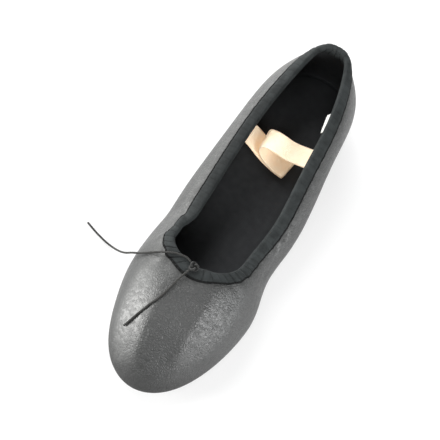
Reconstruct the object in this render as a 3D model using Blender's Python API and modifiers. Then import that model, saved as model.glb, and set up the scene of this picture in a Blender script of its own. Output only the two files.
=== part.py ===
"""Dance teacher shoe: a soft leather slipper on a low block heel.

The toe points along -Y and the heel along +Y, and the shoe stands on z = 0.
Sizes are in millimetres. Points are worked out as across (+X), back (-along) and up,
and are turned into metres when a mesh or a curve is made.
"""

from collections import namedtuple

import bmesh
import bpy
import numpy as np

MM = 0.001

# Driving sizes of the last
LAST_LENGTH = 233.0
BALL_WIDTH = 72.0
INSTEP_HEIGHT = 47.0
HEEL_HEIGHT = 15.0
TOE_SPRING = 5.0

# Thicknesses, and the gap between pieces that meet
WALL = 1.3
OUTSOLE_THICKNESS = 2.2
INSOLE_THICKNESS = 2.0
TAPE_THICKNESS = 0.8
STRAP_THICKNESS = 1.0
LABEL_THICKNESS = 0.5
CORD_DIAMETER = 1.3
GAP = 0.3

# Shares of the last's length where the arch and the toe spring begin and end
HEEL_SEAT_END = 0.142
ARCH_END = 0.635
SPRING_START = 0.764

BALL_HALF = BALL_WIDTH / 2
UPPER_BASE = OUTSOLE_THICKNESS + GAP
LASTED_MARGIN = 10.0
SOLE_INSET = 1.5
INSOLE_INSET = 2.0
SOLE_EDGE_BEVEL = 0.5
HEEL_BLOCK_LENGTH = 41.0
HEEL_TOP_INSET = 2.0
HEEL_BOTTOM_INSET = 3.5
HEEL_BREAST_RAKE = 2.0
TAPE_OUTSIDE = 7.0
TAPE_INSIDE = 8.0
TAPE_PUFF = 0.5
STRAP_WIDTH = 14.0
LABEL_WIDTH = 12.0
KNOT_RADIUS = 1.7
KNOT_LOBE = 0.8
KNOT_RISE = 0.8

# How finely the forms are divided
RING_COUNT = 80
WALL_STEPS = 9
TAPE_STEPS = 3
RIB_STEPS = 6
CURVE_FINENESS = 60
RIBBON_STEPS = 2
RIBBON_ROUNDS = 2
CORD_STRIDE = 2.5 * CORD_DIAMETER
CORD_BEVEL = 2
KNOT_STEPS = 36
SMOOTH_ANGLE = np.radians(40)

# One section for each station round the shoe, from the heel along one side to the toe.
# Along is a share of the last's length. Across, bulge and roll_out are shares of half
# the ball width, and the heights are shares of the instep height.
# The feather is where the wall turns under the foot, and the collar is its upper edge.
# Bulge carries the wall outward above the feather, and the roll turns it in at the collar.
Section = namedtuple(
    "Section",
    "name feather_along feather_across collar_along collar_across collar_height bulge roll_out roll_down",
)
SECTIONS = [
    Section("heel_back", 0.000, 0.000, 0.022, 0.000, 1.106, 0.246, 0.000, 0.340),
    Section("heel_corner", 0.026, 0.480, 0.040, 0.264, 1.085, 0.320, 0.140, 0.277),
    Section("heel_side", 0.120, 0.690, 0.130, 0.441, 0.915, 0.314, 0.400, 0.191),
    Section("waist_back", 0.270, 0.740, 0.257, 0.550, 0.723, 0.279, 0.494, 0.149),
    Section("waist", 0.421, 0.840, 0.426, 0.588, 0.660, 0.333, 0.488, 0.128),
    Section("arch_front", 0.568, 0.895, 0.563, 0.597, 0.700, 0.301, 0.452, 0.149),
    Section("ball", 0.709, 1.000, 0.645, 0.580, 0.872, 0.314, 0.437, 0.191),
    Section("toe_side", 0.841, 0.890, 0.693, 0.414, 0.979, 0.273, 0.733, 0.160),
    Section("toe_corner", 0.953, 0.570, 0.707, 0.163, 1.010, 0.278, 1.044, 0.130),
    Section("toe_tip", 1.000, 0.000, 0.714, 0.000, 1.000, 0.346, 1.273, 0.120),
]

# Where the soft leather is pulled out of its even line, in millimetres outward.
# Station counts sections round the ring, and the far side runs back from the toe tip.
# The collar moves its own edge, the belly moves the wall's fullest part, and the shoulder
# between them takes a share of the belly's pull.
Pull = namedtuple("Pull", "name station spread collar belly")
PULLS = [
    Pull("right_quarter", 2.4, 0.90, 0.9, -1.4),
    Pull("right_middle", 4.3, 0.70, 2.5, -0.6),
    Pull("right_arch", 5.2, 0.60, -0.2, -3.6),
    Pull("right_ball", 6.1, 0.40, 0.0, 0.9),
    Pull("right_throat", 7.0, 0.60, -1.4, 0.8),
    Pull("left_throat", 10.7, 0.50, 1.4, -1.4),
    Pull("throat_corner", 11.6, 0.55, 3.4, -2.2),
    Pull("left_turn", 12.4, 0.35, 1.5, -0.7),
    Pull("left_fold", 12.9, 0.25, -0.6, 0.0),
    Pull("left_arch", 13.3, 0.80, -0.6, 2.0),
    Pull("left_quarter", 15.8, 1.10, -0.8, 1.7),
    Pull("left_heel", 17.3, 0.40, -0.6, 0.0),
]
SHOULDER_SHARE = 0.5
STATIONS = 2 * (len(SECTIONS) - 1)

# Where the tape is wider or narrower than even, as a share of its width.
Ease = namedtuple("Ease", "name station spread share")
TAPE_EASES = [
    Ease("knot_side", 10.2, 0.70, 0.35),
    Ease("left_corner", 12.2, 0.55, -0.45),
]

# Flat pieces inside the shoe, a row for each bend of the middle line, in millimetres.
# Turn is the angle in degrees of the width from straight along the shoe, seen from above,
# and lift is how far the width climbs toward the heel for each millimetre of its run.
Bend = namedtuple("Bend", "name across along height turn lift")
STRAP_BENDS = [
    Bend("sewn_left", -29.9, 67.2, 36.0, -3.0, 0.00),
    Bend("left_run", -19.5, 67.5, 35.2, 1.0, 0.06),
    Bend("lower_slope", -8.0, 69.0, 26.6, 3.0, 0.12),
    Bend("lower_lie", 3.5, 70.0, 21.8, 7.0, 0.00),
    Bend("first_fold_low", 10.6, 70.3, 21.0, 8.0, 0.00),
    Bend("first_fold_high", 10.6, 70.8, 23.4, 8.0, 0.00),
    Bend("middle_lie", 4.0, 70.6, 23.6, 7.0, 0.00),
    Bend("middle_slope", -5.5, 69.6, 28.8, 4.0, 0.08),
    Bend("second_fold_low", -10.6, 68.0, 34.0, -2.0, 0.00),
    Bend("second_fold_high", -10.6, 66.7, 38.6, -5.0, 0.00),
    Bend("upper_rise", -5.0, 66.0, 39.4, -5.0, 0.00),
    Bend("upper_crest", 0.0, 65.4, 37.9, -5.0, 0.00),
    Bend("upper_fall", 7.0, 64.6, 34.4, -5.0, 0.00),
    Bend("right_run", 17.0, 62.7, 34.4, -4.5, 0.00),
    Bend("sewn_right", 30.1, 61.0, 35.8, 0.0, 0.00),
]
LABEL_BENDS = [
    Bend("sewn_edge", 19.5, 42.2, 51.8, -8.5, 0.37),
    Bend("hang", 17.8, 42.2, 49.6, -9.0, 0.37),
    Bend("free_edge", 16.0, 42.2, 45.6, -10.0, 0.37),
]

# Drawstring, in millimetres in the finished shoe's own frame: x across, y toward the heel, z up.
# The long end hugs the wall down to the floor, and the short end lies along the vamp.
KNOT_PLACE = (-2.1, -50.8, 52.6)
LONG_END_ROUTE = [
    (-5.2, -49.2, 52.1), (-8.2, -48.1, 52.0), (-11.6, -48.3, 51.7), (-14.9, -48.9, 51.3),
    (-18.8, -50.2, 50.1), (-22.6, -51.4, 47.8), (-27.0, -52.5, 43.5), (-31.3, -53.9, 39.0),
    (-36.3, -54.8, 33.0), (-41.1, -54.7, 26.0), (-45.5, -54.0, 17.5), (-50.8, -52.5, 9.0),
    (-56.7, -50.8, 3.2), (-62.3, -49.6, 1.2), (-66.8, -48.5, 0.9), (-71.6, -47.2, 0.8),
    (-79.0, -44.7, 0.8),
]
SHORT_END_ROUTE = [
    (-3.5, -53.7, 51.7), (-4.5, -56.4, 51.0), (-5.5, -59.2, 49.8), (-6.2, -60.6, 48.5),
    (-6.7, -62.4, 47.7), (-7.5, -65.6, 46.7), (-8.6, -69.5, 45.5), (-9.8, -73.1, 44.0),
    (-11.2, -76.3, 42.4), (-13.0, -79.3, 40.7), (-13.9, -81.3, 39.6), (-14.8, -83.2, 38.2),
    (-16.8, -87.0, 35.4), (-18.7, -91.2, 31.9), (-20.8, -95.3, 27.9),
]


def smoothstep(share):
    """Rise from 0 to 1 with flat ends and no jump in curvature."""
    t = np.clip(share, 0.0, 1.0)
    return t ** 3 * (t * (6 * t - 15) + 10)


def base_height(along):
    """Height of the upper's underside over the floor: heel seat, arch, tread and toe spring."""
    share = np.asarray(along) / LAST_LENGTH
    arch = smoothstep((share - HEEL_SEAT_END) / (ARCH_END - HEEL_SEAT_END))
    spring = np.clip((share - SPRING_START) / (1 - SPRING_START), 0.0, None) ** 2
    return UPPER_BASE + HEEL_HEIGHT * (1 - arch) + TOE_SPRING * spring


def spline(rows, count, closed=False):
    """Cubic spline through the rows, sampled evenly: count points, with both ends when open."""
    rows = np.asarray(rows, float)
    knots = len(rows)
    system = 4 * np.eye(knots) + np.eye(knots, k=1) + np.eye(knots, k=-1)
    pull = np.zeros_like(rows)
    pull[1:-1] = 3 * (rows[2:] - rows[:-2])
    if closed:
        system[0, -1] = system[-1, 0] = 1
        pull[0] = 3 * (rows[1] - rows[-1])
        pull[-1] = 3 * (rows[0] - rows[-2])
        rows_next = np.roll(rows, -1, axis=0)
    else:
        system[0, 0] = system[-1, -1] = 2
        pull[0] = 3 * (rows[1] - rows[0])
        pull[-1] = 3 * (rows[-1] - rows[-2])
        rows_next = np.vstack([rows[1:], rows[-1:]])
    slopes = np.linalg.solve(system, pull)
    slopes_next = np.roll(slopes, -1, axis=0)
    place = np.linspace(0, knots if closed else knots - 1, count, endpoint=not closed)
    span = np.minimum(place.astype(int), knots - 1 if closed else knots - 2)
    t = (place - span)[:, None]
    step = rows_next[span] - rows[span]
    start, end = slopes[span], slopes_next[span]
    return rows[span] + t * start + t * t * (3 * step - 2 * start - end) + t ** 3 * (start + end - 2 * step)


def soften(rows, rounds):
    """Cut the corners of a line of rows again and again, keeping its two ends."""
    rows = np.asarray(rows, float)
    for _ in range(rounds):
        before, after = rows[:-1], rows[1:]
        cuts = np.stack([0.75 * before + 0.25 * after, 0.25 * before + 0.75 * after], axis=1)
        rows = np.vstack([rows[:1], cuts.reshape(-1, rows.shape[1]), rows[-1:]])
    return rows


def section_ring():
    """Control points of the wall's profile at every place round the shoe, and the outward direction."""
    near = np.array([section[1:] for section in SECTIONS])
    far = near[-2:0:-1].copy()
    far[:, [1, 3]] *= -1
    ring = spline(np.vstack([near, far]), RING_COUNT, closed=True)
    feather_along, feather_across, collar_along, collar_across, rise, bulge, roll_out, roll_down = ring.T
    feather_along, collar_along = feather_along * LAST_LENGTH, collar_along * LAST_LENGTH
    feather = np.stack([feather_across * BALL_HALF, -feather_along, base_height(feather_along)], axis=1)
    collar_height = base_height(collar_along) + rise * INSTEP_HEIGHT
    collar = np.stack([collar_across * BALL_HALF, -collar_along, collar_height], axis=1)
    run = np.roll(feather, -1, axis=0) - np.roll(feather, 1, axis=0)
    outward = np.stack([-run[:, 1], run[:, 0], np.zeros(RING_COUNT)], axis=1)
    outward /= np.linalg.norm(outward, axis=1)[:, None]
    stations = np.arange(RING_COUNT) * STATIONS / RING_COUNT
    fullness = np.zeros(RING_COUNT)
    for pull in PULLS:
        share = np.exp(-((stations - pull.station) / pull.spread) ** 2)
        collar += outward * (pull.collar * share)[:, None]
        fullness += pull.belly * share
    up = np.array([0.0, 0.0, 1.0])
    belly = feather + outward * (bulge * BALL_HALF + fullness)[:, None]
    reach = roll_out * BALL_HALF + SHOULDER_SHARE * fullness
    shoulder = collar + outward * reach[:, None] - up * (roll_down * INSTEP_HEIGHT)[:, None]
    return np.stack([feather, belly, shoulder, collar]), outward


def tape_fullness():
    """How wide the tape is at each place round the ring, as a share of its even width."""
    stations = np.arange(RING_COUNT) * STATIONS / RING_COUNT
    fullness = np.ones(RING_COUNT)
    for ease in TAPE_EASES:
        fullness += ease.share * np.exp(-((stations - ease.station) / ease.spread) ** 2)
    return fullness


RING, OUTWARD = section_ring()
TAPE_FULLNESS = tape_fullness()


def wall(shares):
    """Outer face of the upper: one profile for each place round the ring, at the given shares of its rise."""
    t = np.asarray(shares)[..., None]
    feather, belly, shoulder, collar = RING[:, :, None]
    if t.ndim == 2:
        t = t[None]
    return (
        (1 - t) ** 3 * feather
        + 3 * (1 - t) ** 2 * t * belly
        + 3 * (1 - t) * t ** 2 * shoulder
        + t ** 3 * collar
    )


def share_below_collar(depths):
    """Shares of the wall's rise round the ring, at depths of the even tape below the collar."""
    shares = np.linspace(1, 0, CURVE_FINENESS)
    steps = np.linalg.norm(np.diff(wall(shares), axis=1), axis=2)
    travelled = np.hstack([np.zeros((RING_COUNT, 1)), np.cumsum(steps, axis=1)])
    return np.array([np.interp(depths * full, row, shares) for full, row in zip(TAPE_FULLNESS, travelled)])


def wall_below_collar(depths):
    """Points and outward normals of the wall at depths below the collar; less than 0 is beyond the edge."""
    at = share_below_collar(np.maximum(depths, 0.0))
    points = wall(at)
    beyond = np.minimum(depths, 0.0)
    rim_up = RING[3] - RING[2]
    rim_up /= np.linalg.norm(rim_up, axis=1)[:, None]
    points = points - rim_up[:, None] * beyond[None, :, None]
    feather, belly, shoulder, collar = RING[:, :, None]
    t = at[..., None]
    rise = (1 - t) ** 2 * (belly - feather) + 2 * (1 - t) * t * (shoulder - belly)
    rise = rise + t * t * (collar - shoulder)
    round_about = np.roll(points, -1, axis=0) - np.roll(points, 1, axis=0)
    normals = np.cross(rise, round_about)
    return points, normals / np.linalg.norm(normals, axis=2)[..., None]


TAPE_DEPTHS = np.linspace(0, TAPE_OUTSIDE, TAPE_STEPS + 1)
LENGTHWISE = wall(np.linspace(0, 1, CURVE_FINENESS))[..., 1]
MIDDLE = (LENGTHWISE.max() + LENGTHWISE.min()) / 2


def metres(points):
    """Points in metres, with the middle of the shoe's length at the origin."""
    return (np.asarray(points) - np.array([0.0, MIDDLE, 0.0])) * MM


def colour_material(name, colour, roughness):
    material = bpy.data.materials.new(name)
    material.use_nodes = True
    shader = material.node_tree.nodes["Principled BSDF"]
    shader.inputs["Base Color"].default_value = (*colour, 1.0)
    shader.inputs["Roughness"].default_value = roughness
    shader.inputs["Metallic"].default_value = 0.0
    return material


def add_object(name, data, material):
    """Put a mesh or a curve in the shoe's collection, under the shoe's own empty."""
    shoe_part = bpy.data.objects.new(name, data)
    data.materials.append(material)
    SHOE.objects.link(shoe_part)
    shoe_part.parent = STAND
    return shoe_part


def grid_mesh(name, grid, closed_round, closed_across=False):
    """Quads over a grid of points, joined round the first index and, if asked, round the second."""
    rows, columns = grid.shape[:2]
    shape = bmesh.new()
    points = [[shape.verts.new(p) for p in row] for row in metres(grid)]
    for i in range(rows if closed_round else rows - 1):
        here, after = points[i], points[(i + 1) % rows]
        for j in range(columns if closed_across else columns - 1):
            k = (j + 1) % columns
            shape.faces.new((here[j], here[k], after[k], after[j]))
    return finish_mesh(name, shape, outward=closed_across)


def finish_mesh(name, shape, outward=False):
    """Turn the built shape into a smooth-shaded mesh."""
    if outward:
        bmesh.ops.recalc_face_normals(shape, faces=shape.faces)
    mesh = bpy.data.meshes.new(name)
    shape.to_mesh(mesh)
    shape.free()
    mesh.shade_smooth()
    mesh.set_sharp_from_angle(angle=SMOOTH_ANGLE)
    return mesh


def thicken(shoe_part, thickness, offset):
    """Give an open surface its thickness; offset -1 is inward and 0 is to both sides."""
    shell = shoe_part.modifiers.new("thickness", "SOLIDIFY")
    shell.thickness = thickness * MM
    shell.offset = offset
    shell.use_even_offset = True


def make_upper(material):
    """Lasted margin, wall and roll to the collar in one surface, thickened inward."""
    margin = (RING[0] - OUTWARD * LASTED_MARGIN)[:, None]
    margin[..., 2] = base_height(-margin[..., 1])
    below_tape = share_below_collar(TAPE_DEPTHS[-1:]) * np.linspace(0, 1, WALL_STEPS, endpoint=False)
    under_tape = share_below_collar(TAPE_DEPTHS[::-1])
    rise = wall(np.hstack([below_tape, under_tape]))
    mesh = grid_mesh("upper", np.concatenate([margin, rise], axis=1), closed_round=True)
    thicken(add_object("upper", mesh, material), WALL, offset=-1)


def tape_profile():
    """Section of the folded tape: depth below the collar edge, and distance out from the wall's face."""
    face = GAP + TAPE_THICKNESS
    back = -WALL - GAP
    middle = -WALL / 2
    puff = TAPE_PUFF * np.sin(np.pi * TAPE_DEPTHS / TAPE_OUTSIDE)
    outer_leaf = [(depth, GAP) for depth in TAPE_DEPTHS]
    fold = [(-GAP, 0.0), (-GAP, -WALL)]
    inner_leaf = [(depth, back) for depth in (0.0, TAPE_INSIDE / 2, TAPE_INSIDE)]
    inner_leaf.append((TAPE_INSIDE, back - TAPE_THICKNESS))
    rim = [(0.0, back - TAPE_THICKNESS), (-face, middle - face / 2), (-face, middle + face / 2)]
    outer_face = [(depth, face + rise) for depth, rise in zip(TAPE_DEPTHS, puff)]
    return np.array(outer_leaf[::-1] + fold + inner_leaf + rim + outer_face)


def make_collar_binding(material):
    """Tape folded over the collar edge, swept round the upper's own wall."""
    depths, distances = tape_profile().T
    points, normals = wall_below_collar(depths)
    tape = points + normals * distances[None, :, None]
    mesh = grid_mesh("collar_binding", tape, closed_round=True, closed_across=True)
    add_object("collar_binding", mesh, material)


def sole_sheet(name, inset, lift):
    """Ribs across the foot inside the feather line, on the bottom's curve at a height over the base."""
    outline = RING[0] - OUTWARD * inset
    half = RING_COUNT // 2
    shares = np.linspace(0, 1, RIB_STEPS + 1)[:, None]
    shape = bmesh.new()

    def add(points):
        placed = np.array(points)
        placed[..., 2] = base_height(-placed[..., 1]) + lift
        return [shape.verts.new(p) for p in metres(placed)]

    heel, toe = add([outline[0], outline[half]])
    ribs = []
    for k in range(1, half):
        far, near = outline[RING_COUNT - k], outline[k]
        ribs.append(add(far + (near - far) * shares))
    for before, after in zip(ribs, ribs[1:]):
        for j in range(RIB_STEPS):
            shape.faces.new((before[j], after[j], after[j + 1], before[j + 1]))
    for j in range(RIB_STEPS):
        shape.faces.new((heel, ribs[0][j], ribs[0][j + 1]))
        shape.faces.new((toe, ribs[-1][j + 1], ribs[-1][j]))
    return finish_mesh(name, shape)


def make_insole(material):
    mesh = sole_sheet("insole", INSOLE_INSET, WALL + GAP + INSOLE_THICKNESS)
    thicken(add_object("insole", mesh, material), INSOLE_THICKNESS, offset=-1)


def make_outsole(material):
    mesh = sole_sheet("outsole", SOLE_INSET, -GAP)
    outsole = add_object("outsole", mesh, material)
    thicken(outsole, OUTSOLE_THICKNESS, offset=-1)
    edge = outsole.modifiers.new("edge", "BEVEL")
    edge.width = SOLE_EDGE_BEVEL * MM
    edge.segments = 1
    edge.limit_method = "ANGLE"
    edge.angle_limit = np.radians(60)


def heel_outline(inset, breast, height):
    """Heel block's outline at one height: round behind, with a straight breast across the front."""
    outline = RING[0] - OUTWARD * inset
    along = -outline[:, 1]
    order = np.roll(np.arange(RING_COUNT), RING_COUNT // 2)
    back = [outline[i] for i in order if along[i] < breast]
    ends = []
    for side in (-1, 1):
        reach = np.interp(breast, along[:RING_COUNT // 2], outline[:RING_COUNT // 2, 0])
        ends.append(np.array([side * reach, -breast, 0.0]))
    points = np.array([ends[0]] + back + [ends[1]])
    points[:, 2] = height
    return points


def make_heel(material):
    """Block under the heel seat, a little smaller where it meets the floor."""
    top_height = HEEL_HEIGHT - GAP
    top = heel_outline(HEEL_TOP_INSET, HEEL_BLOCK_LENGTH, top_height)
    bottom = heel_outline(HEEL_BOTTOM_INSET, HEEL_BLOCK_LENGTH - HEEL_BREAST_RAKE, 0.0)
    places = np.linspace(0, len(bottom) - 1, len(top))
    matched = np.stack([np.interp(places, np.arange(len(bottom)), column) for column in bottom.T], axis=1)
    shape = bmesh.new()
    upper_edge = [shape.verts.new(p) for p in metres(top)]
    lower_edge = [shape.verts.new(p) for p in metres(matched)]
    shape.faces.new(upper_edge)
    shape.faces.new(lower_edge)
    for k in range(len(top)):
        after = (k + 1) % len(top)
        shape.faces.new((upper_edge[k], upper_edge[after], lower_edge[after], lower_edge[k]))
    add_object("heel", finish_mesh("heel", shape, outward=True), material)


def make_ribbon(name, bends, width, thickness, material):
    """Flat band whose middle line follows the bends, thickened to both sides."""
    across, along, height, turn, lift = soften([bend[1:] for bend in bends], RIBBON_ROUNDS).T
    turn = np.radians(turn)
    middle = np.stack([across, -along, height], axis=1)
    side = np.stack([np.sin(turn), np.cos(turn), lift], axis=1)
    side /= np.linalg.norm(side, axis=1)[:, None]
    shares = np.linspace(-0.5, 0.5, RIBBON_STEPS + 1)
    grid = middle[:, None] + side[:, None] * (width * shares)[None, :, None]
    band = add_object(name, grid_mesh(name, grid, closed_round=False), material)
    thicken(band, thickness, offset=0)


def make_cord(name, points, material, closed=False):
    """Round cord along points in millimetres in the finished shoe's frame."""
    cord = bpy.data.curves.new(name, "CURVE")
    cord.dimensions = "3D"
    cord.bevel_depth = CORD_DIAMETER / 2 * MM
    cord.bevel_resolution = CORD_BEVEL
    cord.use_fill_caps = True
    strand = cord.splines.new("POLY")
    strand.points.add(len(points) - 1)
    strand.use_cyclic_u = closed
    for place, point in zip(strand.points, np.asarray(points) * MM):
        place.co = (*point, 1.0)
    add_object(name, cord, material)


def make_drawstring_end(name, route, material):
    length = np.linalg.norm(np.diff(route, axis=0), axis=1).sum()
    make_cord(name, spline(route, round(length / CORD_STRIDE) + 1), material)


def make_drawstring_knot(material):
    """Overhand knot drawn tight: a trefoil lying flat on the tape at the throat."""
    t = np.linspace(0, 2 * np.pi, KNOT_STEPS, endpoint=False)
    reach = KNOT_RADIUS + KNOT_LOBE * np.cos(3 * t)
    loop = np.stack([reach * np.cos(2 * t), reach * np.sin(2 * t), KNOT_RISE * np.sin(3 * t)], axis=1)
    make_cord("drawstring_knot", loop + KNOT_PLACE, material, closed=True)


for leftover in list(bpy.data.objects):
    bpy.data.objects.remove(leftover, do_unlink=True)

SHOE = bpy.data.collections.new("dance_teacher_shoe")
bpy.context.scene.collection.children.link(SHOE)
STAND = bpy.data.objects.new("shoe_stand", None)
SHOE.objects.link(STAND)

make_upper(colour_material("black_leather", (0.022, 0.022, 0.022), 0.45))
make_collar_binding(colour_material("binding_tape", (0.030, 0.033, 0.033), 0.80))
make_insole(colour_material("sock_lining", (0.012, 0.012, 0.013), 0.85))
make_outsole(colour_material("sole_leather", (0.016, 0.016, 0.016), 0.70))
make_heel(colour_material("heel_block", (0.014, 0.014, 0.014), 0.60))
peach_elastic = colour_material("peach_elastic", (0.90, 0.74, 0.55), 0.85)
make_ribbon("elastic_strap", STRAP_BENDS, STRAP_WIDTH, STRAP_THICKNESS, peach_elastic)
white_weave = colour_material("white_weave", (0.78, 0.78, 0.76), 0.80)
make_ribbon("inner_label", LABEL_BENDS, LABEL_WIDTH, LABEL_THICKNESS, white_weave)
cord_cotton = colour_material("cord_cotton", (0.050, 0.050, 0.048), 0.85)
make_drawstring_knot(cord_cotton)
make_drawstring_end("drawstring_long_end", LONG_END_ROUTE, cord_cotton)
make_drawstring_end("drawstring_short_end", SHORT_END_ROUTE, cord_cotton)
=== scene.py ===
"""Looks of the dance teacher shoe: leather, tape, cloth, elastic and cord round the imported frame.

Sizes are in millimetres in the shoe's own frame, with x across, y toward the heel and z up.
They are turned into metres when a mesh is made.
Left and right are those of someone who faces the toe, so left is where x is less than 0.
"""

from collections import namedtuple

import bmesh
import bpy
import numpy as np
from mathutils import Matrix, Vector, noise


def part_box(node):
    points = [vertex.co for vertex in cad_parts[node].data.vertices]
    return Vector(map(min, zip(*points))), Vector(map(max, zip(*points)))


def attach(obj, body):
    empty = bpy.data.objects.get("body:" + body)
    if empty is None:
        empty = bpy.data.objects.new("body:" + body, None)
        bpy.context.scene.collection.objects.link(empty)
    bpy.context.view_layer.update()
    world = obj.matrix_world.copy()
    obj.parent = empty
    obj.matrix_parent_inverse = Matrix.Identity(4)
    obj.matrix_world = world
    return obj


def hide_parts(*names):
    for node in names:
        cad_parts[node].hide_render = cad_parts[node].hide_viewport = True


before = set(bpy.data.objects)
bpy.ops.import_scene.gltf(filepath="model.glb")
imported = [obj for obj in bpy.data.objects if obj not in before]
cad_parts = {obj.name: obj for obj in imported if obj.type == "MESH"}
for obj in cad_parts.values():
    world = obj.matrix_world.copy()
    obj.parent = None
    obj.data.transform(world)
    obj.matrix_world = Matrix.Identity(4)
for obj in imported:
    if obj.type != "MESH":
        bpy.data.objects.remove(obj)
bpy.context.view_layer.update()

MM = 0.001
UPWARD = np.array([0.0, 0.0, 1.0])

# Driving sizes of the last, the same as the solids have
LAST_LENGTH = 233.0
BALL_HALF = 36.0
INSTEP_HEIGHT = 47.0
HEEL_HEIGHT = 15.0
TOE_SPRING = 5.0
HEEL_SEAT_END = 0.142
ARCH_END = 0.635
SPRING_START = 0.764

# Thicknesses, insets and the gap between pieces that meet
WALL = 1.3
OUTSOLE_THICKNESS = 2.2
INSOLE_THICKNESS = 2.0
TAPE_THICKNESS = 0.8
STRAP_THICKNESS = 1.0
LABEL_THICKNESS = 0.5
CORD_DIAMETER = 1.3
GAP = 0.3
UPPER_BASE = OUTSOLE_THICKNESS + GAP
LASTED_MARGIN = 10.0
SOLE_INSET = 1.5
INSOLE_INSET = 2.0
SOLE_EDGE_BEVEL = 0.6
INSOLE_EDGE_BEVEL = 0.4
SOLE_EDGE_ANGLE = 60.0
HEEL_BLOCK_LENGTH = 41.0
HEEL_TOP_INSET = 2.0
HEEL_BOTTOM_INSET = 3.5
HEEL_BREAST_RAKE = 2.0
HEEL_EDGE_BEVEL = 0.8
HEEL_EDGE_ANGLE = 40.0
TAPE_OUTSIDE = 7.0
TAPE_INSIDE = 8.0
STRAP_WIDTH = 14.0
LABEL_WIDTH = 12.0
FEATHER_TURN = 2.6
RIBBON_EDGE_LOSS = 0.6
RIBBON_EDGE_POWER = 12

# How finely the forms are divided
LEATHER_STATIONS = 560
TAPE_STATIONS = 1300
SOLE_STATIONS = 200
WALL_ROWS = 76
UNDER_TAPE_ROWS = 8
TURN_ROWS = 6
MARGIN_ROWS = 4
LINING_STRIDE = 3
CURVE_FINENESS = 90
RIB_STEPS = 12
RIBBON_ROUNDS = 4
RIBBON_STEPS = 14
CORD_STEP = 0.4
CORD_SIDES = 20
KNOT_STEPS = 150
CREASE_STEPS = 60
TAPE_OUTSIDE_ROWS = 20
TAPE_INSIDE_ROWS = 10
TAPE_RIM_ROWS = 11

# Sections of the wall from the heel along one side to the toe, as in the solids
Section = namedtuple(
    "Section",
    "name feather_along feather_across collar_along collar_across collar_height bulge roll_out roll_down",
)
SECTIONS = [
    Section("heel_back", 0.000, 0.000, 0.022, 0.000, 1.106, 0.246, 0.000, 0.340),
    Section("heel_corner", 0.026, 0.480, 0.040, 0.264, 1.085, 0.320, 0.140, 0.277),
    Section("heel_side", 0.120, 0.690, 0.130, 0.441, 0.915, 0.314, 0.400, 0.191),
    Section("waist_back", 0.270, 0.740, 0.257, 0.550, 0.723, 0.279, 0.494, 0.149),
    Section("waist", 0.421, 0.840, 0.426, 0.588, 0.660, 0.333, 0.488, 0.128),
    Section("arch_front", 0.568, 0.895, 0.563, 0.597, 0.700, 0.301, 0.452, 0.149),
    Section("ball", 0.709, 1.000, 0.645, 0.580, 0.872, 0.314, 0.437, 0.191),
    Section("toe_side", 0.841, 0.890, 0.693, 0.414, 0.979, 0.273, 0.733, 0.160),
    Section("toe_corner", 0.953, 0.570, 0.707, 0.163, 1.010, 0.278, 1.044, 0.130),
    Section("toe_tip", 1.000, 0.000, 0.714, 0.000, 1.000, 0.346, 1.273, 0.120),
]
STATIONS = 2 * (len(SECTIONS) - 1)

# Where the soft leather is pulled out of its even line, outward at the collar and at the belly
Pull = namedtuple("Pull", "name station spread collar belly")
PULLS = [
    Pull("right_quarter", 2.4, 0.90, 0.9, -1.4),
    Pull("right_middle", 4.3, 0.70, 2.5, -0.6),
    Pull("right_arch", 5.2, 0.60, -0.2, -3.6),
    Pull("right_ball", 6.1, 0.40, 0.0, 0.9),
    Pull("right_throat", 7.0, 0.60, -1.4, 0.8),
    Pull("left_throat", 10.7, 0.50, 1.4, -1.4),
    Pull("throat_corner", 11.6, 0.55, 3.4, -2.2),
    Pull("left_turn", 12.4, 0.35, 1.5, -0.7),
    Pull("left_fold", 12.9, 0.25, -0.6, 0.0),
    Pull("left_arch", 13.3, 0.80, -0.6, 2.0),
    Pull("left_quarter", 15.8, 1.10, -0.8, 1.7),
    Pull("left_heel", 17.3, 0.40, -0.6, 0.0),
]
SHOULDER_SHARE = 0.5

# Where the tape is wider or narrower than even, as a share of its width
Ease = namedtuple("Ease", "name station spread share")
TAPE_EASES = [
    Ease("knot_side", 10.2, 0.70, 0.35),
    Ease("left_corner", 12.2, 0.55, -0.45),
]

# Soft troughs and ridges of the worn leather: half width and depth, then a line on the wall
Crease = namedtuple("Crease", "name width depth line")
CREASES = [
    Crease("left_facet", 9.0, -1.20, [(-25, -60, 41), (-23, -83, 33), (-18, -100, 25), (-9, -112, 18)]),
    Crease("left_brow", 4.5, 0.50, [(-11, -61, 46), (-10, -79, 40), (-7, -96, 32), (-3, -110, 22)]),
    Crease("vamp_sink", 7.0, -0.70, [(8, -63, 46), (6, -79, 41), (7, -95, 33), (12, -107, 23)]),
    Crease("right_brow", 4.0, 0.45, [(16, -54, 47), (15, -72, 42), (16, -91, 32), (18, -103, 22)]),
    Crease("right_band", 5.5, -0.50, [(23, -51, 43), (23, -68, 39), (23, -86, 30), (23, -98, 22)]),
    Crease("right_shoulder", 5.0, 0.40, [(33, -44, 33), (33, -62, 31), (31, -80, 26), (28, -93, 20)]),
    Crease("knot_fold", 1.4, -0.45, [(-7, -62, 47), (-1, -62, 47), (4, -59, 48)]),
    Crease("right_streak", 3.0, 0.40, [(30, 50, 40), (32, 35, 35), (34, 20, 31)]),
    Crease("right_fold_back", 1.8, -1.10, [(29, 14, 36), (31, 6, 32), (32, 0, 29)]),
    Crease("right_fold_middle", 1.8, -1.10, [(28, 5, 34), (30, -3, 31), (32, -12, 26)]),
    Crease("right_fold_front", 3.0, -0.60, [(32, -14, 25), (33, -20, 24), (34, -26, 23)]),
    Crease("left_swell", 5.0, 0.50, [(-31, 8, 30), (-32, 0, 28), (-32, -9, 27)]),
    Crease("left_hollow", 4.0, -0.60, [(-32, -12, 27), (-31, -30, 33), (-32, -43, 37)]),
]
CREASE_TAPER = 0.6
CREASE_BLUNT = 0.03
CREASE_FADE = 3.0

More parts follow.
